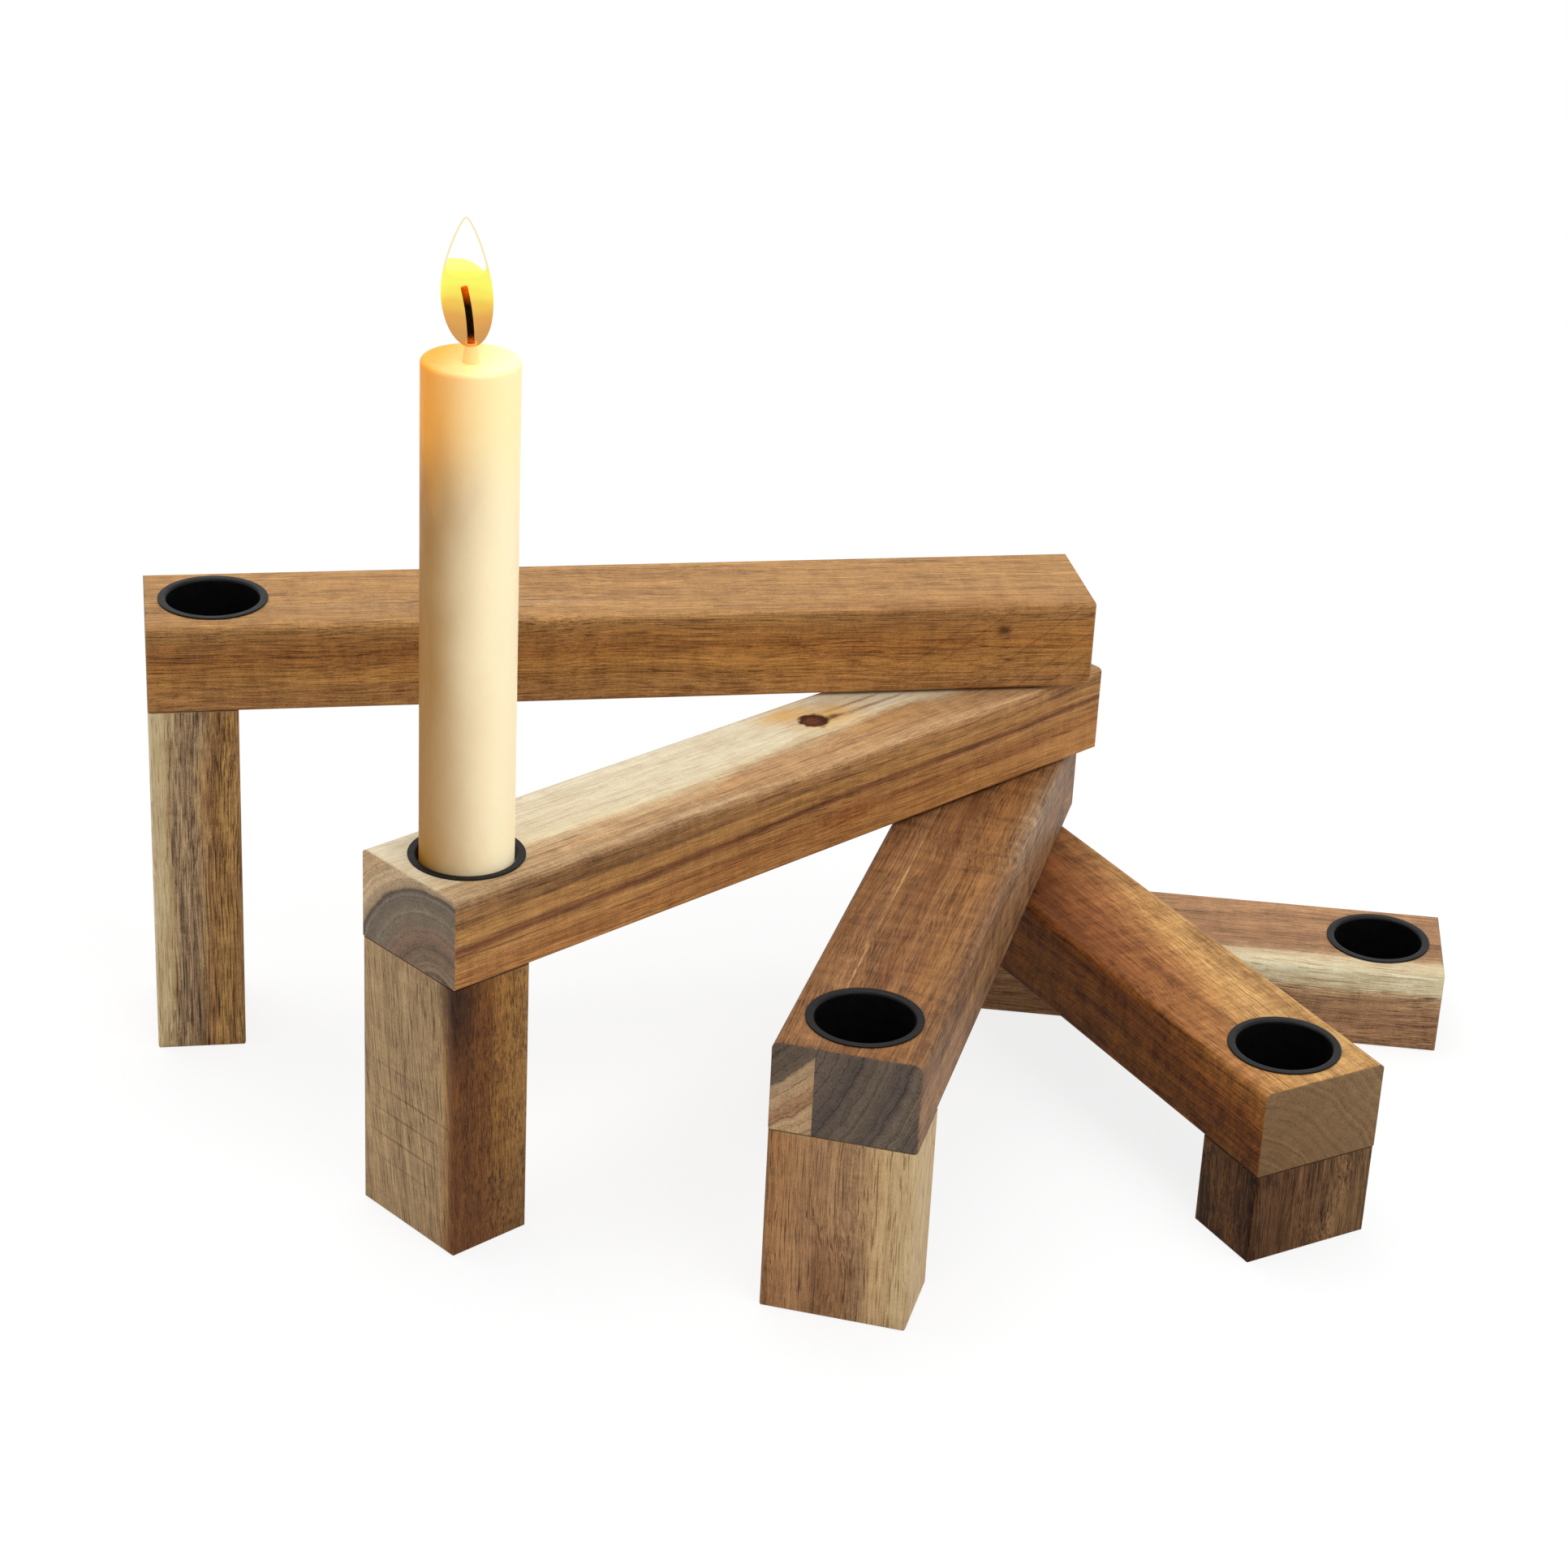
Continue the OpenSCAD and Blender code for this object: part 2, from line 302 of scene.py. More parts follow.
def layer_colours(graph, layer, along, across, through):
    """Colours of a board's long faces and of its ends, and the distance from its pith."""
    side = (across - layer.pith[0]) * layer.squeeze
    rise = through - layer.pith[1]
    distance = graph.vector("LENGTH", graph.combine(side, rise, 0.0)) + along * layer.drift
    if layer.taper:
        distance = distance + (layer.still - distance) * (along * layer.taper)
    return graph.ramp(distance, layer.stops), graph.ramp(distance, layer.end_stops), distance


def patch_share(graph, patch, point, unrest):
    """How much of a patch's colour shows at a point; unrest makes its edge uneven."""
    offset = graph.vector("SUBTRACT", point, patch.centre)
    reach = graph.vector("LENGTH", graph.vector("DIVIDE", offset, patch.radii))
    return graph.span(reach + unrest * 0.07, 1.0 - patch.fade, 1.0, patch.share, 0.0)


def wood_colours(graph, wood, along, across, through, seeded):
    """Colours of the long faces and of the ends, before the fine grain is laid over them, and
    the distance from the pith."""
    bend = graph.noise(seeded, (0.014, 0.05, 0.05)) * wood.warp
    curl = graph.noise(seeded, (0.07, 0.25, 0.25)) * (0.3 * wood.warp)
    unrest = graph.noise(seeded, (0.3, 0.6, 0.6))
    side = across + bend + curl
    rise = through + bend - curl
    colour, end, distance = layer_colours(graph, wood.layer, along, side, rise)
    if wood.second:
        others = layer_colours(graph, wood.second, along, side, rise)
        beyond = graph.span(across, wood.seam - 0.1, wood.seam + 0.1, 1.0, 0.0)
        colour = graph.mix(beyond, colour, others[0])
        end = graph.mix(beyond, end, others[1])
        distance = distance + (others[2] - distance) * beyond
        gap = graph.math("ABSOLUTE", across - wood.seam)
        wander = graph.noise(seeded, (0.06, 0.0, 0.3))
        glue = graph.span(gap + wander * 0.08, 0.08, 0.28, 0.5, 0.0)
        colour = graph.mix(glue, colour, srgb(200, 160, 110))
    point = graph.combine(along, side, rise)
    for patch in wood.patches:
        share = patch_share(graph, patch, point, unrest)
        colour = graph.mix(share, colour, srgb(*patch.colour))
        end = graph.mix(share, end, srgb(*patch.colour))
    return colour, end, distance


def shaded(graph, colour, bright, pale):
    """Changes a colour's brightness: dark marks in pale wood are brown."""
    green = graph.math("POWER", bright, 1.1 + pale * 0.35)
    blue = graph.math("POWER", bright, 1.05 + pale * 0.8)
    return graph.vector("MULTIPLY", colour, graph.combine(bright, green, blue))


def grain_marks(graph, wood, seeded):
    """Brightness changes along the fibres, and how dark the open pores and long lines are."""
    crowd = graph.noise(seeded, (0.02, 0.25, 0.25))
    streaks = graph.noise(seeded, (0.006, 0.16, 0.16), 2.0) * wood.streak
    stripes = graph.noise(seeded, (0.014, 0.6, 0.6), 3.0, 0.6) * wood.stripe
    fibres = graph.noise(seeded, (0.07, 2.6, 2.6), 3.0, 0.75)
    fuzz = graph.noise(seeded, (1.6, 3.2, 3.2), 2.0, 0.6) * wood.fuzz
    figure = graph.noise(seeded, (0.25, 0.1, 0.1), 1.0) * wood.figure
    ripple = graph.noise(seeded, (0.8, 0.3, 0.3), 1.0) * wood.ripple
    bright = streaks + stripes + fibres * wood.fibre + fuzz + figure + ripple
    wide = graph.noise(seeded, (0.03, 1.4, 1.4), 1.0) + crowd * 0.35
    thin = graph.noise(seeded, (0.045, 3.4, 3.4), 0.0) + crowd * 0.2
    lines = graph.span(wide, 1.0, 2.0) * 0.6 + graph.span(thin, 1.0, 1.5) * 0.7
    fine = wood.pore_scale
    dashes = graph.noise(seeded, (0.035 * fine, fine, fine), 0.0)
    pores = graph.span(dashes + crowd * 0.3, 1.15, 1.6)
    return bright, fibres, lines, pores


def wood_material(name, wood, bar, upright):
    """Wood from its growth rings, streaks, fibres and pores, with its end grain."""
    material, graph = new_material(name)
    along, across, through, grain_axis, across_axis = grain_point(graph, bar, upright)
    slanted = across + along * wood.slant
    seeded = graph.vector("ADD", graph.combine(along, slanted, through), (wood.seed,) * 3)
    colour, end_colour, distance = wood_colours(graph, wood, along, across, through, seeded)
    normal = graph.value("TexCoord", output="Normal")
    pale = graph.span(graph.separate(colour)[0], 0.42, 0.75)

    sway = graph.noise(seeded, (0.012, 0.03, 0.03)) * wood.sway
    swaying = graph.vector("ADD", seeded, graph.combine(0.0, sway, sway))
    rings = graph.noise(graph.combine(distance, wood.seed, 0.0), (0.9, 1.0, 1.0), 3.0)
    bright, fibres, lines, pores = grain_marks(graph, wood, swaying)
    sideness = facing(graph, normal, across_axis)
    strong = 1.0 + sideness * 0.3
    bright = 1.0 + (bright + rings * wood.ring) * ((1.0 - pale * 0.75) * strong)
    dark = 1.0 - lines * (1.0 - pale * 0.7) * strong * wood.line
    dark = dark * (1.0 - pores * (1.0 - pale * 0.4) * wood.pore)
    long_grain = shaded(graph, colour, graph.math("MAXIMUM", bright * dark, 0.2), pale)
    # Partly painted shade and light: the faces that look across get their own colour factors, which
    # make them darker or lighter than the tops.
    side = graph.vector("MULTIPLY", long_grain, tint(wood.side_tone_and_shading))
    if wood.scratch:
        aslant = graph.combine(along + through, along - through, wood.seed)
        scratches = graph.noise(aslant, (0.08, 2.2, 1.0), 2.0)
        side = graph.scale(side, 1.0 + scratches * wood.scratch)
    long_grain = graph.mix(sideness, long_grain, side)
    endness = facing(graph, normal, grain_axis)
    cut_end = end_grain(graph, wood, end_colour, seeded, distance, rings)
    final = graph.mix(endness, long_grain, cut_end)
    if wood.saw_marks:
        place = graph.combine(along + through * 1.3, 0.0, 0.0)
        marks = graph.span(graph.noise(place, (0.55, 1.0, 1.0), 0.0), 0.7, 1.3)
        near = graph.span(along, 10.0, 85.0, wood.saw_marks, 0.0) * sideness
        final = graph.scale(final, 1.0 - marks * near)

    height = fibres * 0.3 - pores * 1.0 - lines * 0.5
    bump = graph.value("Bump", {"Strength": 0.3, "Distance": 0.15 / MM, "Height": height})
    rough = 0.52 + fibres * 0.04 + pores * 0.15 + endness * 0.15
    surface(
        graph, Base_Color=final, Roughness=rough, Normal=bump, IOR=1.45,
        Specular_IOR_Level=wood.gloss,
    )
    return material


def end_grain(graph, wood, colour, seeded, distance, rings):
    """Cut ends: growth rings as thin dark lines, open pores as dots, and rough sawn fibres."""
    dots = graph.span(graph.noise(seeded, (0.4, 1.9, 1.9), 1.0), 0.9, 1.5)
    bands = graph.noise(graph.combine(distance, wood.seed, 0.0), (0.7, 1.0, 1.0), 0.0)
    edges = graph.noise(graph.combine(distance, wood.seed + 5.0, 0.0), (0.35, 1.0, 1.0), 2.0)
    thin = graph.span(graph.math("ABSOLUTE", edges), 0.0, 0.16, wood.end_line, 0.0)
    rays = graph.noise(seeded, (0.2, 0.22, 1.7), 2.0)
    coarse = graph.noise(seeded, (0.3, 0.35, 0.35), 2.0)
    speckle = graph.noise(seeded, (2.6, 2.6, 2.6), 3.0, 0.7)
    bright = 1.0 + rings * wood.end_ring + graph.span(bands, 1.0, 1.6) * 0.12 - thin
    bright = bright + rays * 0.03 + coarse * 0.05 + speckle * 0.16 - dots * 0.25
    return graph.scale(colour, graph.math("MAXIMUM", bright, 0.25))


def facing(graph, normal, axis):
    """1 on faces that look along an axis, either way, and 0 on the others."""
    turned = graph.math("ABSOLUTE", graph.vector("DOT_PRODUCT", normal, axis))
    return graph.span(turned, 0.6, 0.95)


def tint(colour):
    """A colour as factors on another, with 200 for no change."""
    return tuple(c / 200 for c in colour)


ARM_WOODS = {
    1: Wood(
        Layer((12, -75), [
            (70, (182, 134, 84)), (79, (184, 134, 82)), (84, (184, 133, 75)), (89, (172, 118, 64)),
            (94, (170, 121, 70)), (96, (174, 130, 80)), (102, (174, 130, 80)),
        ], [(70, (160, 140, 128)), (102, (166, 142, 124))]),
        seed=11.0, side_tone_and_shading=(168, 160, 144), saw_marks=0.2, line=0.42, slant=0.02, stripe=0.09,
        pore=0.3,
        patches=(
            Patch((150, 7, 24), (70, 5, 8), (194, 154, 106), 0.6, 0.9),
            Patch((20, 16, 24), (70, 9, 9), (140, 88, 48), 0.4, 0.9),
            Patch((6.5, 18, 17), (3.4, 4, 2.4), (60, 34, 18), 0.85, 0.8),
        ),
    ),
    2: Wood(
        Layer((12, -9), [
            (6, (196, 138, 82)), (17, (200, 142, 84)), (20, (184, 126, 74)), (23.4, (196, 142, 86)),
            (25, (132, 84, 54)), (26.4, (192, 140, 84)), (28.4, (196, 144, 86)),
            (29.6, (150, 108, 68)), (31, (178, 130, 84)), (32, (168, 124, 82)),
            (33.1, (180, 140, 98)), (33.5, (190, 158, 118)), (34.2, (212, 196, 162)),
            (35.2, (214, 200, 170)), (48, (218, 208, 182)),
        ], [
            (10, (142, 120, 98)), (21, (144, 120, 98)), (23, (126, 104, 86)), (25, (144, 116, 96)),
            (27, (134, 116, 98)), (29, (144, 128, 108)), (30.6, (122, 108, 92)),
            (31.7, (136, 121, 106)), (32.6, (106, 92, 80)), (33.2, (180, 154, 122)),
            (35.2, (222, 190, 150)), (38.5, (206, 170, 128)), (42, (226, 194, 156)),
            (50, (226, 194, 156)),
        ], drift=0.003, still=34.0, taper=0.0016),
        seed=23.0, warp=0.35, stripe=0.1, pore=0.25, sway=0.5, side_tone_and_shading=(172, 170, 164),
        patches=(
            Patch((160, 18, 20), (50, 5, 4), (112, 80, 50), 0.5, 0.9),
            Patch((40, 18, 20.5), (60, 5, 2.6), (186, 136, 84), 0.8, 0.7),
            Patch((75, 18, 7), (12, 6, 7), (180, 104, 54), 0.45, 0.9),
            Patch((50, 5, 24), (24, 5.5, 6), (180, 134, 84), 0.85, 0.7),
            Patch((63, -5, 24), (17, 10, 7), (210, 164, 92), 0.85, 0.9),
            Patch((72, -12, 24), (13, 6, 6), (216, 166, 88), 0.75, 0.9),
            Patch((50, -3, 24), (16, 1.2, 2), (132, 88, 54), 0.6, 0.8),
            Patch((52, -7, 24), (14, 0.8, 2), (150, 104, 66), 0.5, 0.8),
            Patch((62, -3.8, 24), (4.5, 1.8, 3), (90, 54, 32), 0.8, 0.8),
            Patch((67.8, -5.2, 24), (5.0, 4.6, 8), (66, 34, 22), 1.0, 0.3),
            Patch((68.2, -5.2, 24), (3.6, 3.2, 8), (112, 62, 42), 0.7, 0.7),
        ),
    ),
    3: Wood(
        Layer((-70, 45), [
            (62, (132, 92, 56)), (70, (136, 94, 58)), (73, (122, 80, 48)), (77, (136, 94, 58)),
            (81, (146, 100, 58)), (85, (148, 104, 62)), (90, (138, 98, 64)), (97, (138, 98, 64)),
        ], [
            (62, (98, 84, 74)), (70, (108, 92, 80)), (76, (94, 82, 74)), (82, (110, 94, 80)),
            (88, (96, 84, 76)), (91, (118, 102, 86)), (97, (100, 88, 78)),
        ]),
        seed=37.0, streak=0.12, stripe=0.14, figure=0.1, end_line=0.35,
        side_tone_and_shading=(228, 244, 252), scratch=0.06,
        patches=(
            Patch((34, 18, 24), (58, 5, 18), (164, 132, 100), 0.75, 0.9),
        ),
        second=Layer((-60, 66), [
            (50, (124, 84, 52)), (61, (128, 88, 54)), (66, (142, 100, 64)), (68.5, (150, 108, 70)),
            (70.5, (190, 150, 106)), (90, (190, 150, 106)),
        ], [
            (50, (98, 82, 70)), (68, (104, 88, 74)), (69.5, (176, 146, 112)), (73, (190, 154, 116)),
            (76, (170, 128, 92)), (79, (196, 160, 120)), (90, (150, 118, 90)),
        ]),
        seam=-7.5,
    ),
    4: Wood(
        Layer((-30, -20), [
            (30, (116, 72, 38)), (46, (118, 72, 38)), (51, (114, 66, 34)), (54, (114, 66, 34)),
            (57, (136, 82, 44)), (61, (144, 92, 52)), (65, (164, 112, 66)), (68.5, (184, 136, 82)),
            (73, (188, 144, 90)), (90, (192, 148, 92)),
        ], [
            (20, (104, 74, 52)), (36, (116, 84, 58)), (50, (128, 98, 68)), (90, (142, 114, 82)),
        ], drift=0.14),
        seed=41.0, streak=0.14, figure=0.1, ripple=0.08, side_tone_and_shading=(178, 172, 120), end_line=0.15,
        end_ring=0.08, scratch=0.14, gloss=0.06,
    ),
    5: Wood(
        Layer((20, -12), [
            (30, (178, 136, 96)), (38, (170, 128, 90)), (42, (155, 114, 80)), (44, (156, 116, 82)),
            (46, (156, 118, 84)), (47.4, (178, 142, 104)), (48.3, (208, 188, 150)),
            (54, (216, 204, 170)),
        ], [
            (30, (150, 124, 98)), (45, (150, 124, 98)), (49, (196, 176, 140)), (54, (196, 176, 140)),
        ]),
        seed=53.0, streak=0.1, line=0.5, side_tone_and_shading=(236, 248, 256), warp=0.4,
    ),
}

LEG_WOODS = {
    1: Wood(
        Layer((25, -44.6), [
            (44, (128, 98, 66)), (47, (180, 138, 88)), (50, (190, 147, 90)), (53, (164, 122, 78)),
            (55, (172, 134, 92)), (57, (172, 142, 108)), (60, (184, 154, 120)),
            (62, (172, 144, 112)), (63.8, (200, 172, 132)), (66, (220, 196, 152)),
            (72, (230, 208, 170)),
        ], [(44, (150, 125, 95)), (72, (180, 160, 120))], drift=0.018),
        seed=61.0, stripe=0.15, fibre=0.3, warp=1.6, line=0.6, slant=0.015, pore=0.5,
    ),
    2: Wood(
        Layer((18.5, 24), [
            (0, (104, 66, 38)), (4, (112, 72, 42)), (12, (128, 84, 48)), (17, (158, 114, 66)),
            (21, (160, 120, 74)), (28, (176, 142, 100)), (60, (182, 150, 108)),
        ], [(0, (100, 80, 60)), (60, (150, 128, 100))], squeeze=5.0),
        seed=71.0, slant=0.12, pore=0.5, pore_scale=3.4, line=0.3, side_tone_and_shading=(187, 177, 151),
        patches=(
            Patch((0, 18, 2), (38, 12, 19), (110, 78, 52), 0.5, 0.9),
            # Darker at the top of the leg, just under the bar, on its +across side
            Patch((72, 18, 22), (30, 8, 8), (62, 38, 26), 0.9, 0.9),
            Patch((72, 18, 24), (14, 8, 8), (70, 44, 30), 0.6, 0.9),
            # Lines that the saw left across the outer face
            Patch((14.7, -2, 23), (0.6, 19, 3), (112, 80, 54), 0.35, 0.8),
            Patch((21.6, 0, 23), (0.6, 21, 3), (112, 80, 54), 0.55, 0.8),
            Patch((28.5, 0, 23), (0.6, 20, 3), (112, 80, 54), 0.55, 0.8),
            Patch((34.8, 2, 23), (0.5, 21, 3), (112, 80, 54), 0.6, 0.8),
            Patch((41.6, -4, 23), (0.5, 16, 3), (112, 80, 54), 0.35, 0.8),
        ),
    ),
    3: Wood(
        Layer((-50, 10), [
            (30, (170, 114, 64)), (34, (162, 116, 74)), (45, (166, 124, 86)), (54, (174, 134, 96)),
            (60, (196, 160, 114)), (68, (212, 184, 138)),
        ], [(30, (140, 115, 90)), (68, (180, 160, 120))]),
        seed=83.0, pore=0.55, pore_scale=3.4, line=0.3, side_tone_and_shading=(200, 196, 192), sway=1.6,
        patches=(
            Patch((8, -1, 23), (22, 10, 12), (136, 90, 54), 0.5, 0.9),
        ),
    ),
    4: Wood(
        Layer((-30, 40), [
            (18, (94, 65, 42)), (30, (100, 69, 45)), (40, (114, 84, 56)), (55, (120, 90, 62)),
        ], [(18, (90, 70, 52)), (55, (100, 80, 60))]),
        seed=97.0, streak=0.22, stripe=0.3, fibre=0.4, sway=3.0, side_tone_and_shading=(146, 130, 100),
        scratch=0.14, gloss=0.06, pore=0.5, line=0.6,
    ),
}


def dress(node, material):
    """Gives a CAD node a material in place of its own."""
    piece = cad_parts[node]
    piece.data.materials.clear()
    piece.data.materials.append(material)


def metal_material(name, colour, roughness, grain):
    """Metal with a fine uneven sheen; grain is the depth of its roughness in mm."""
    material, graph = new_material(name)
    point = millimetres(graph)
    cloud = graph.noise(point, (0.5, 0.5, 0.5), 3.0)
    fine = graph.noise(point, (4.0, 4.0, 4.0), 2.0)
    shade = graph.scale(srgb(*colour)[:3], 1.0 + cloud * 0.06)
    bump = graph.value("Bump", {"Strength": 0.2, "Distance": grain / MM, "Height": fine})
    surface(graph, Base_Color=shade, Metallic=1.0, Roughness=roughness + cloud * 0.05, Normal=bump)
    return material


def cup_material():
    """Satin black paint on pressed steel."""
    material, graph = new_material("black_cup")
    point = millimetres(graph)
    cloud = graph.noise(point, (0.35, 0.35, 0.35), 3.0)
    peel = graph.noise(point, (2.5, 2.5, 2.5), 2.0)
    shade = graph.scale(srgb(12, 12, 13)[:3], 1.0 + cloud * 0.1)
    bump = graph.value("Bump", {"Strength": 0.15, "Distance": 0.05 / MM, "Height": peel})
    surface(
        graph, Base_Color=shade, Roughness=0.4 + cloud * 0.03, Normal=bump,
        Specular_IOR_Level=0.15,
    )
    return material


def nylon_material():
    """Milky plastic."""
    material, graph = new_material("nylon")
    point = millimetres(graph)
    cloud = graph.noise(point, (0.4, 0.4, 0.4), 3.0)
    shade = graph.scale(srgb(222, 218, 204)[:3], 1.0 + cloud * 0.04)
    surface(graph, Base_Color=shade, Roughness=0.45 + cloud * 0.06, Subsurface_Weight=0.15)
    return material


# The candle's axis and the height of its rim, in metres
CANDLE_AXIS = middle_of("candle").xy
CANDLE_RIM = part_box("candle")[1].z


def wax_material():
    """Pale wax with painted light and shade: amber towards its top below the flame, darker towards
    its left, and a faint painted glow all over.
    """
    material, graph = new_material("wax")
    point = millimetres(graph, (*CANDLE_AXIS, CANDLE_RIM))
    right, _, up = graph.separate(point)
    cloud = graph.noise(point, (0.06, 0.06, 0.03), 3.0)
    # Painted light from the flame: the wax turns amber towards its top.
    glow = graph.span(up + cloud * 3.0, -44.0, -10.0)
    # Painted shade: the wax goes from its lit colour on the right to a darker shaded copy on its
    # left (-x), as if lit from the right, the same from every side.
    shade = graph.span(right + cloud * 0.8, -10.5, 10.5, 1.0, 0.0)
    pale = graph.mix(shade, srgb(255, 238, 198), srgb(154, 107, 38))
    flame_lit_wax = graph.mix(shade, srgb(255, 238, 180), srgb(234, 153, 34))
    colour = graph.mix(glow, pale, flame_lit_wax)
    fine = graph.noise(point, (0.5, 0.5, 0.25), 3.0)
    bump = graph.value("Bump", {"Strength": 0.12, "Distance": 0.3 / MM, "Height": fine})
    # The emission gives the wax a faint painted glow of its own colour all over.
    surface(
        graph, Base_Color=colour, Roughness=0.42 + fine * 0.04, Normal=bump,
        Subsurface_Weight=0.25, Subsurface_Radius=(1.0, 0.6, 0.3), Subsurface_Scale=0.004,
        Emission_Color=colour, Emission_Strength=0.22, Specular_IOR_Level=0.2,
    )
    return material


def wick_material():
    """Cotton, scorched brown at its foot, burnt black above, and glowing at its tip."""
    material, graph = new_material("wick")
    tip = (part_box("wick")[1].z - CANDLE_RIM) * MM
    point = millimetres(graph, (0.0, 0.0, CANDLE_RIM))
    up = graph.separate(point)[2]
    braid = graph.noise(point, (1.4, 1.4, 0.7), 3.0)
    burnt = graph.span(up + braid * 0.5, -0.6, 2.4)
    # Painted glow: the tip turns orange in the base colour, with no emission.
    ember = graph.span(up, tip - 4.5, tip)
    black = graph.mix(ember, srgb(10, 3, 2), srgb(200, 80, 10))
    colour = graph.mix(burnt, srgb(222, 128, 60), black)
    bump = graph.value("Bump", {"Strength": 0.6, "Distance": 0.2 / MM, "Height": braid})
    surface(
        graph, Base_Color=colour, Roughness=0.75 + braid * 0.05, Normal=bump,
        Specular_IOR_Level=0.1,
    )
    return material


# The flame's outline: height over its foot and radius, in mm
FLAME = (
    (0.0, 0.0), (0.1, 1.4), (1.0, 2.7), (2.8, 4.1), (5.4, 5.15), (8.8, 5.75), (11.8, 5.9),
    (15.2, 5.6), (18.4, 4.95), (21.6, 4.05), (24.6, 3.0), (27.2, 1.85), (29.0, 0.85), (29.8, 0.0),
)
# Its white heart, which starts above the wick and stays inside the flame
HEART = (
    (17.1, 0.0), (16.7, 3.2), (17.2, 4.35), (18.8, 4.4), (21.6, 3.55), (24.6, 2.5), (27.2, 1.35),
    (28.6, 0.55), (29.3, 0.0),
)
# Tint of the flame and glow of its heart: height over the foot in mm, and colour
VEIL = (
    (0.0, (206, 152, 92)), (4.4, (214, 156, 87)), (7.9, (236, 176, 86)), (10.8, (252, 222, 90)),
    (12.8, (251, 248, 104)), (17.2, (251, 248, 112)), (19.2, (250, 230, 186)),
    (30.0, (250, 230, 186)),
)
GLOW = (
    (13.2, (252, 248, 112)), (18.0, (252, 250, 120)), (18.8, (255, 255, 240)),
    (30.0, (255, 255, 252)),
)
# How much the height in the heart's glow grows with each mm to the right and to the back
HEART_SLANT = (0.25, 0.55)
# Height of the flame's foot, in the hollow of the melted wax, in mm over the table
FLAME_FOOT = CANDLE_RIM * MM - 0.8
# The flame's lean to the right, and the height over its foot at which that is reached, in mm
FLAME_LEAN = -1.3
LEAN_HEIGHT = 20.0
# Sides of the flame's round section
FLAME_SIDES = 48


def flame_body(name, outline):
    """A closed smooth body turned round the candle's axis, which leans a little to one side."""
    points, faces = [], []
    for height, radius in outline:
        lean = FLAME_LEAN * math.sin(min(height / LEAN_HEIGHT, 1.0) * math.pi / 2)
        for k in range(FLAME_SIDES):
            turn = 2 * math.pi * k / FLAME_SIDES
            x = CANDLE_AXIS.x + (lean + radius * math.cos(turn)) / MM
            y = CANDLE_AXIS.y + radius * math.sin(turn) / MM
            points.append((x, y, (FLAME_FOOT + height) / MM))
    for row in range(len(outline) - 1):
        here, above = row * FLAME_SIDES, (row + 1) * FLAME_SIDES
        for k in range(FLAME_SIDES):
            ahead = (k + 1) % FLAME_SIDES
            faces.append((here + k, here + ahead, above + ahead, above + k))
    mesh = bpy.data.meshes.new(name)
    mesh.from_pydata(points, [], faces)
    mesh.shade_smooth()
    piece = bpy.data.objects.new(name, mesh)
    bpy.context.scene.collection.objects.link(piece)
    joined = bmesh.new()
    joined.from_mesh(mesh)
    bmesh.ops.remove_doubles(joined, verts=joined.verts, dist=1e-6)
    joined.to_mesh(mesh)
    joined.free()
    rounding = piece.modifiers.new("round", "SUBSURF")
    rounding.levels = 1
    rounding.render_levels = 1
    return piece


def flame_height(graph, slant=(0.0, 0.0)):
    """Millimetres over the flame's foot, a little uneven. With a slant it grows by these shares
    of the way to the right and to the back."""
    point = millimetres(graph, (*CANDLE_AXIS, FLAME_FOOT / MM))
    right, back, up = graph.separate(point)
    wave = graph.noise(point, (0.08, 0.08, 0.05), 1.0) * 0.6
    return up + right * slant[0] + back * slant[1] + wave


def veil_material():
    """Clear gas that tints what is behind it: amber at its foot and yellow round the wick. It
    doesn't bend light, so the wick stays black in it."""
    material, graph = new_material("flame")
    tinted = graph.ramp(flame_height(graph), VEIL)
    surface(
        graph, Base_Color=tinted, Roughness=0.0, IOR=1.0, Transmission_Weight=1.0,
        Specular_IOR_Level=0.0,
    )
    return material


def heart_material():
    """A glow strong enough to be white behind the tinted gas. The yellow at its foot reaches up
    farthest at the left and in front."""
    material, graph = new_material("flame_heart")
    glow = graph.ramp(flame_height(graph, HEART_SLANT), GLOW)
    surface(
        graph, Base_Color=(0.02, 0.02, 0.02, 1.0), Roughness=0.9, Specular_IOR_Level=0.0,
        Emission_Color=glow, Emission_Strength=2.0,
    )
    return material


def make_flame():
    """A clear yellow flame round the wick, with a white heart in its upper part."""
    bodies = (("flame", FLAME, veil_material()), ("flame_heart", HEART, heart_material()))
    for name, shape, material in bodies:
        piece = flame_body(name, shape)
        piece.data.materials.append(material)
        piece.visible_shadow = False
        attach(piece, "candle")


def dress_nodes():
    """Every CAD node keeps its shape and gets its finish."""
    for bar in BARS:
        dress(f"arm_{bar}", wood_material(f"wood_arm_{bar}", ARM_WOODS[bar], bar, False))
    for bar in LEGS:
        dress(f"leg_{bar}", wood_material(f"wood_leg_{bar}", LEG_WOODS[bar], bar, True))
    cup = cup_material()
    steel = metal_material("zinc_steel", (186, 188, 190), 0.34, 0.02)
    brass = metal_material("brass", (196, 158, 84), 0.3, 0.02)
    nylon = nylon_material()
    for bar in BARS:
        dress(f"cup_{bar}", cup)
    for bar in LEGS:
        dress(f"leg_screws_{bar}", steel)
        dress(f"slip_washer_{bar}", nylon)
    dress("pivot_bolt", steel)
    dress("head_washer", steel)
    dress("threaded_insert", brass)
    dress("candle", wax_material())
    dress("wick", wick_material())


def seen_directly(graph):
    """1 for what the camera sees, also in gloss and through glass, and 0 for soft light."""
    made = graph.node("LightPath")
    kinds = ("Camera", "Glossy", "Transmission")
    rays = [Value(graph, made.outputs[f"Is {kind} Ray"]) for kind in kinds]
    return graph.math("MINIMUM", rays[0] + rays[1] + rays[2], 1.0)


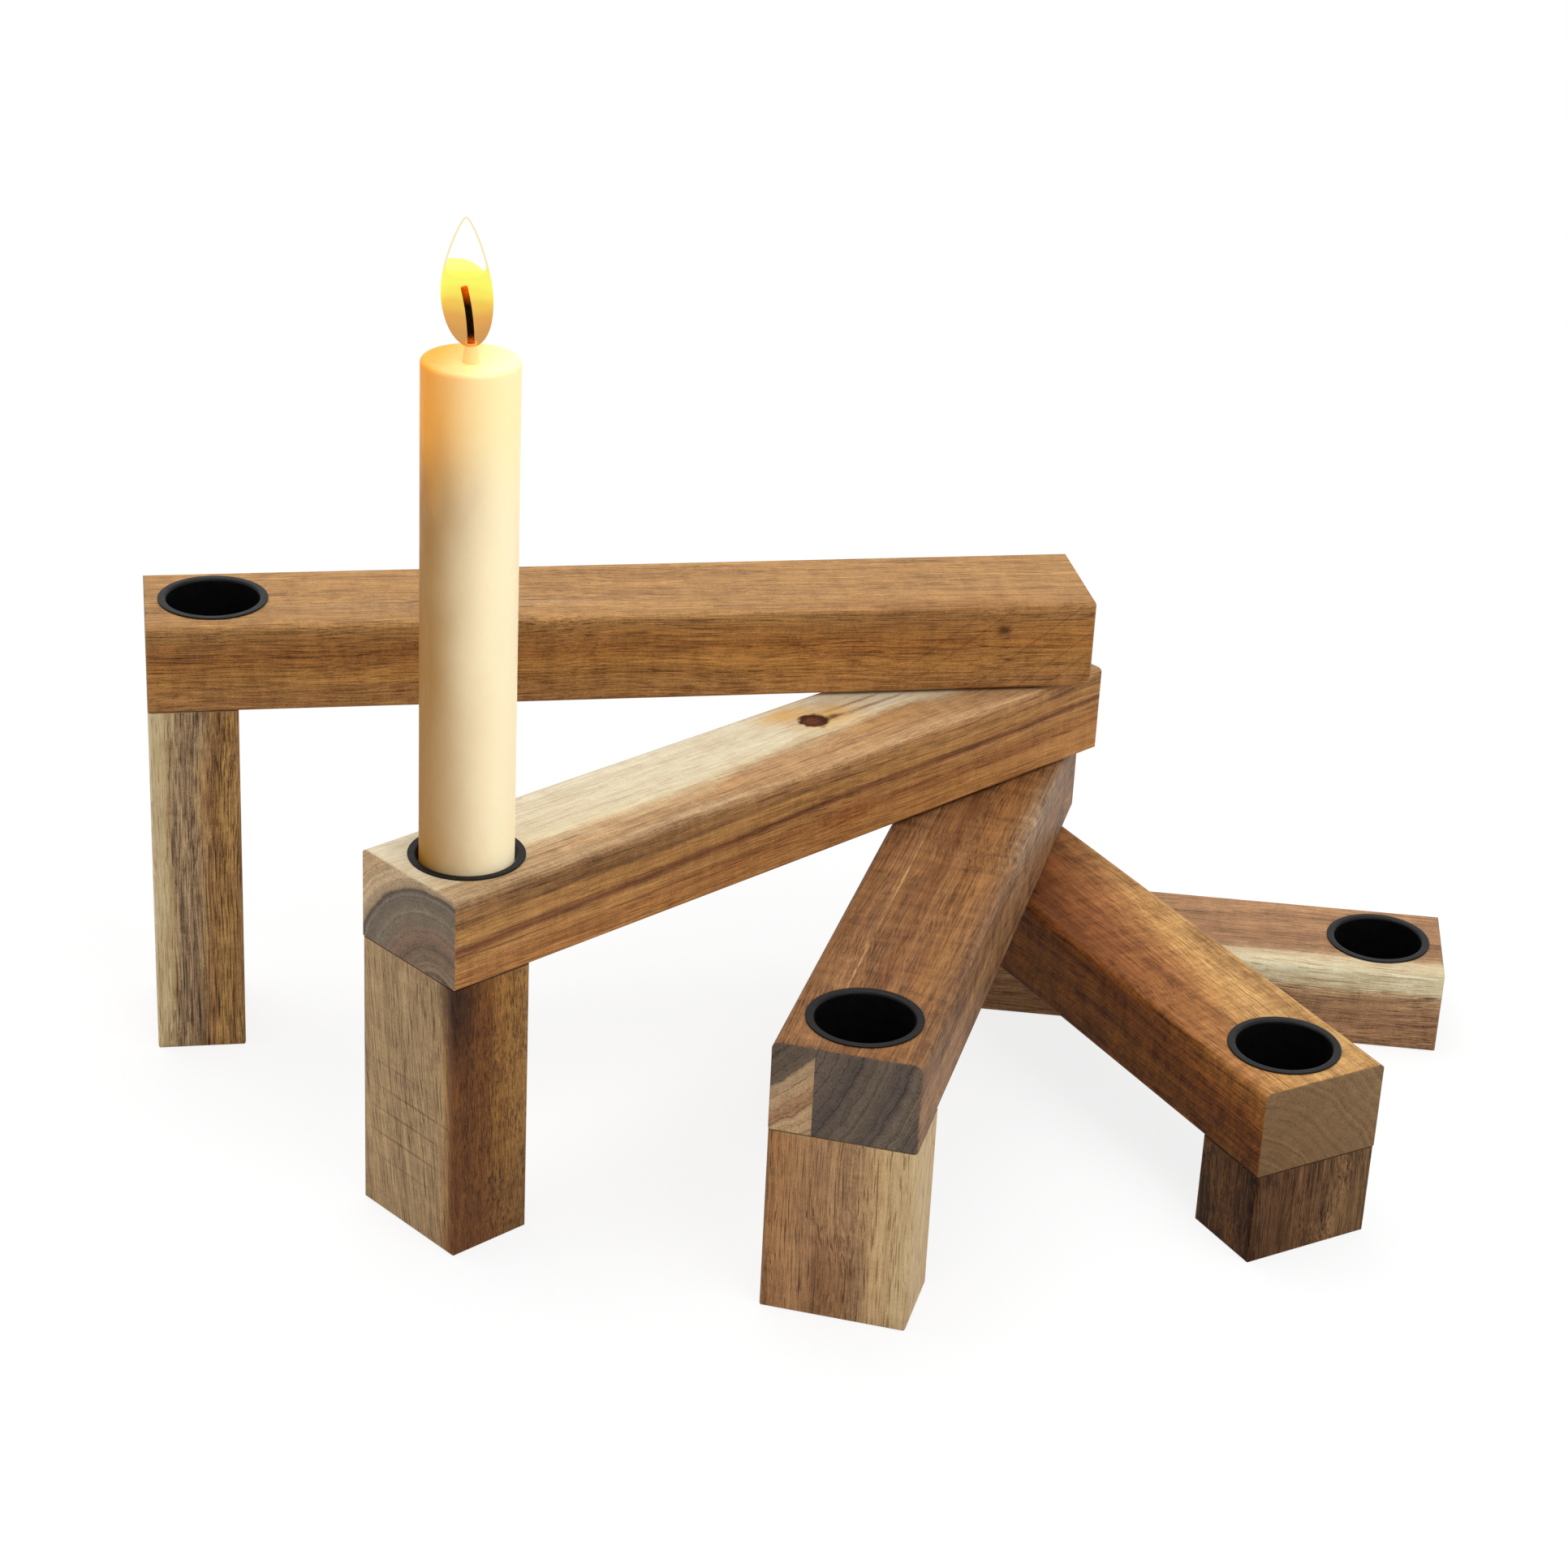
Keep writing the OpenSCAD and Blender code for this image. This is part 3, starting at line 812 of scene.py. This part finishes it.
def make_floor():
    """White floor that keeps the object's soft shadow."""
    sides = 64
    turns = [2 * math.pi * k / sides for k in range(sides)]
    circle = [(FLOOR_RADIUS * math.cos(a), FLOOR_RADIUS * math.sin(a), 0.0) for a in turns]
    mesh = bpy.data.meshes.new("floor")
    mesh.from_pydata(circle, [], [tuple(range(sides))])
    floor = bpy.data.objects.new("floor", mesh)
    bpy.context.scene.collection.objects.link(floor)
    material, graph = new_material("floor")
    seen = seen_directly(graph)
    pale = FLOOR_BOUNCE + seen * (1.0 - FLOOR_BOUNCE)
    lit = graph.value("BsdfDiffuse", {"Color": graph.combine(pale, pale, pale)}, "BSDF")
    white = graph.value("Emission", {"Color": WHITE, "Strength": 1.0}, "Emission")
    distance = graph.vector("LENGTH", graph.value("TexCoord", output="Object"))
    share = seen * graph.span(distance, *FLOOR_FADE, FLOOR_WHITE, 1.0)
    mixed = graph.value("MixShader", {0: share, 1: lit, 2: white}, "Shader")
    graph.node("OutputMaterial", {"Surface": mixed})
    mesh.materials.append(material)


def make_world():
    """Even white surroundings, whiter where they are seen than where they light."""
    world = bpy.data.worlds.new("surroundings")
    bpy.context.scene.world = world
    world.use_nodes = True
    graph = Graph(world.node_tree)
    strength = WORLD_LIGHT + seen_directly(graph) * (1.0 - WORLD_LIGHT)
    inputs = {"Color": WHITE, "Strength": strength}
    graph.node("OutputWorld", {"Surface": graph.value("Background", inputs, "Background")})


def make_light(name, place, aim, size, power):
    """Round soft light at place that looks at aim: metres and watts."""
    light = bpy.data.lights.new(name, "AREA")
    light.shape = "DISK"
    light.size = size
    light.energy = power
    made = bpy.data.objects.new(name, light)
    made.location = place
    made.rotation_euler = (Vector(aim) - Vector(place)).to_track_quat("-Z", "Y").to_euler()
    bpy.context.scene.collection.objects.link(made)


def make_camera():
    """The photograph's camera: a long lens that looks down on the fan."""
    data = bpy.data.cameras.new("camera")
    data.lens = LENS
    data.sensor_width = SENSOR
    camera = bpy.data.objects.new("camera", data)
    turned = Matrix.Identity(4)
    for angle, axis in zip(CAMERA_TURNS, "ZXZ"):
        turned = turned @ Matrix.Rotation(math.radians(angle), 4, axis)
    camera.matrix_world = Matrix.Translation(CAMERA_PLACE) @ turned
    bpy.context.scene.collection.objects.link(camera)
    bpy.context.scene.camera = camera


def set_view():
    """Colours come out as they are written."""
    bpy.context.scene.view_settings.view_transform = "Standard"


make_camera()
dress_nodes()
make_flame()
make_floor()
make_world()
make_light("key", place=(0.8, -0.8, 1.6), aim=(0.0, -0.05, 0.08), size=1.2, power=10.0)
make_light("top", place=(-0.4, 0.3, 1.9), aim=(0.0, 0.0, 0.05), size=1.4, power=16.0)
set_view()
